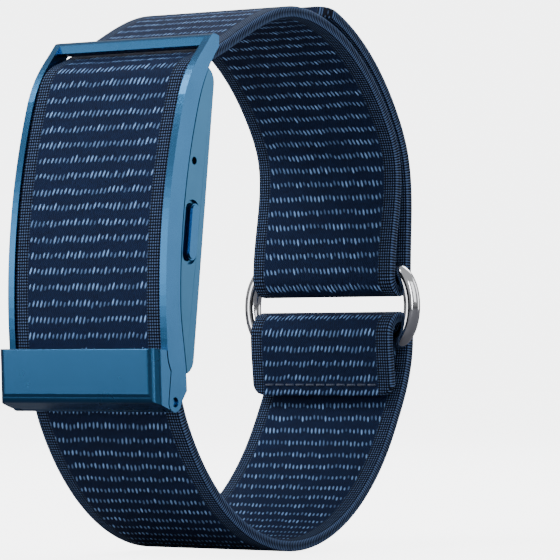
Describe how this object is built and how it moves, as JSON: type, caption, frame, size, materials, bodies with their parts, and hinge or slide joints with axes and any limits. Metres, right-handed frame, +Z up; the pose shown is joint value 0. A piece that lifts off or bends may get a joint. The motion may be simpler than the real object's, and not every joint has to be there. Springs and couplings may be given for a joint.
{
  "type": "fitness tracker band",
  "caption": "Screenless wrist tracker in a blue metal frame with a hinged clasp plate, on a woven hook-and-loop strap that folds round an oval metal ring.",
  "frame": {"origin": "middle of the closed loop, where the wrist goes", "axes": "+X across the strap towards the button, -Y towards the tracker's front, +Z up towards the tracker's top bar"},
  "size_m": [0.0254, 0.0533, 0.0634],
  "materials": {
    "blue_aluminium": "satin anodised blue",
    "black_plastic": "fine matt",
    "dark_glass": "polished dark optical resin",
    "seal_rubber": "matt",
    "steel": "fine brushed",
    "gold_contact": "gold plated",
    "circuit_board": "solder mask",
    "battery_foil": "foil pouch",
    "diode": "clear resin",
    "woven_fabric": "woven navy with light-blue picks",
    "hook_tape": "hook tape",
    "polished_chrome": "polished"
  },
  "bodies": {
    "tracker_and_strap": {"outer_frame": "blue_aluminium", "case_shell": "blue_aluminium", "rear_cover": "black_plastic", "vent_membrane": "black_plastic", "light_baffle": "black_plastic", "sensor_window": "dark_glass", "light_sensor_1": "dark_glass", "light_sensor_2": "dark_glass", "cover_gasket": "seal_rubber", "button_seal": "seal_rubber", "clasp_pin": "steel", "button_switch": "steel", "board_shield": "steel", "motor_can": "steel", "charge_contact_1": "gold_contact", "charge_contact_2": "gold_contact", "flex_cable": "gold_contact", "antenna": "gold_contact", "main_board": "circuit_board", "optical_board": "circuit_board", "battery": "battery_foil", "light_1": "diode", "light_2": "diode", "light_3": "diode", "strap_main": "woven_fabric", "cover_screw_1": "steel", "cover_screw_2": "steel", "cover_screw_3": "steel", "cover_screw_4": "steel"},
    "clasp": {"clasp_lever": "blue_aluminium"},
    "ring": {"oval_ring": "polished_chrome"},
    "tail": {"strap_tail": "woven_fabric", "hook_patch": "hook_tape"},
    "button": {"button_cap": "blue_aluminium"},
    "motor": {"motor_mass": "steel"}
  },
  "joints": [
    {"name": "clasp_open", "type": "hinge", "parent": "tracker_and_strap", "child": "clasp", "pos_m": [0, -0.02436, -0.01412], "axis": [1, 0, 0], "range_deg": [0, 100]},
    {"name": "ring_swing", "type": "hinge", "parent": "tracker_and_strap", "child": "ring", "pos_m": [0, 0.02229, 0.0013], "axis": [1, 0, 0], "range_deg": [-3, 3]},
    {"name": "tail_peel", "type": "hinge", "parent": "tracker_and_strap", "child": "tail", "pos_m": [0, 0.02404, 0.00145], "axis": [-1, 0, 0], "range_deg": [0, 60]},
    {"name": "button_press", "type": "slide", "parent": "tracker_and_strap", "child": "button", "axis": [-1, 0, 0], "range_m": [0, 0.0003], "stiffness_N_per_m": 3000},
    {"name": "motor_shake", "type": "slide", "parent": "tracker_and_strap", "child": "motor", "axis": [1, 0, 0], "range_m": [-0.0008, 0.0008], "stiffness_N_per_m": 500}
  ]
}
